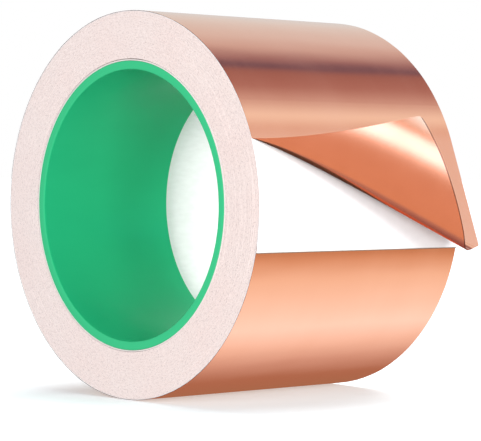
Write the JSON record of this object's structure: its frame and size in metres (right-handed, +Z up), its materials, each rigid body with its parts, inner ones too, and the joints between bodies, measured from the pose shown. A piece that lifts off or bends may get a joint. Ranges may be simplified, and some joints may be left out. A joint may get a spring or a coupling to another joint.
{
  "type": "copper foil tape roll",
  "caption": "Roll of wide copper foil tape on a plastic and paper core, its foil end peeled off the white release liner and its corner curled back.",
  "frame": {"origin": "centre of the core's bore, halfway across the tape's width", "axes": "+Y along the winding axis, away from the face with the plastic sleeve; +Z up with the roll standing on its rim; +X towards the peeled foil end"},
  "size_m": [0.125, 0.078, 0.1089],
  "materials": {
    "sleeve_plastic": "satin",
    "tube_paper": "matte",
    "wound_edge": "matte",
    "liner_paper": "satin",
    "copper": "satin",
    "adhesive": "gloss"
  },
  "bodies": {
    "roll": {"core_sleeve": "sleeve_plastic", "core_tube": "tube_paper", "inner_turns": "wound_edge", "outer_liner": "liner_paper", "outer_adhesive": "adhesive", "outer_foil": "copper"},
    "flap": {"flap_foil": "copper", "flap_adhesive": "adhesive"}
  },
  "joints": [
    {"name": "flap_peel", "type": "hinge", "parent": "roll", "child": "flap", "pos_m": [0.05121, 0, 0.01864], "axis": [0, -1, 0], "range_deg": [0, 60]}
  ]
}
